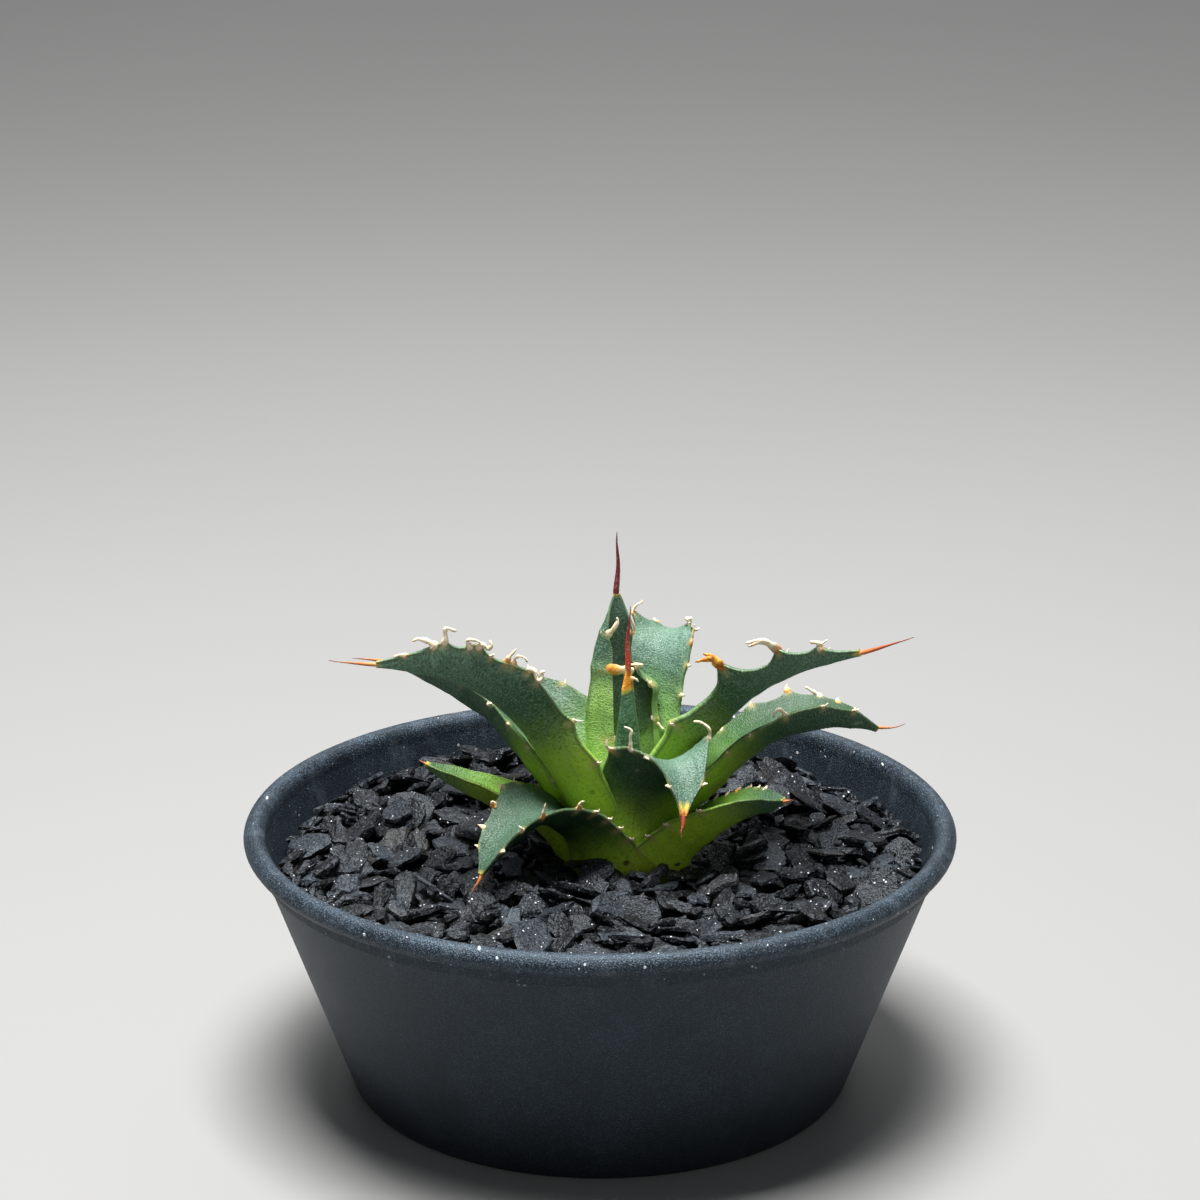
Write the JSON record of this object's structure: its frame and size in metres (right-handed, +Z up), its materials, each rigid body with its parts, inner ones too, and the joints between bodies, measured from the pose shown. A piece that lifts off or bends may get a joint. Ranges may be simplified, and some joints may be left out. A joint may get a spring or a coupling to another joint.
{
  "type": "potted utah agave",
  "caption": "Small rosette of stiff, toothed, spine-tipped succulent leaves growing in a shallow round black pan topped with dark stone chips.",
  "frame": {"origin": "centre of the pot's foot, on the surface it stands on", "axes": "+Z up out of the pot; -Y towards the viewer of the picture; +X to the right of that view"},
  "size_m": [0.15, 0.15, 0.1184],
  "materials": {
    "pot_plastic": "satin black with fine speckle and dust",
    "soil": "rough and crumbly",
    "stone_chips": "dark slate grey, broken flat faces",
    "stem": "pale, dry and fibrous",
    "leaf": "waxy blue-green, yellow-green at the base, fine pale speckle",
    "spine": "horny, orange at the foot and dark red at the point"
  },
  "bodies": {
    "root": {"pot": "pot_plastic", "soil": "soil", "gravel": "stone_chips", "stem_and_roots": "stem", "leaf_01": "leaf", "leaf_02": "leaf", "leaf_03": "leaf", "leaf_04": "leaf", "leaf_05": "leaf", "leaf_06": "leaf", "leaf_07": "leaf", "leaf_08": "leaf", "leaf_09": "leaf", "leaf_10": "leaf", "leaf_11": "leaf", "leaf_12": "leaf", "spine_01": "spine", "spine_02": "spine", "spine_03": "spine", "spine_04": "spine", "spine_05": "spine", "spine_06": "spine", "spine_07": "spine", "spine_08": "spine", "spine_09": "spine", "spine_10": "spine", "spine_11": "spine", "spine_12": "spine"}
  },
  "joints": []
}
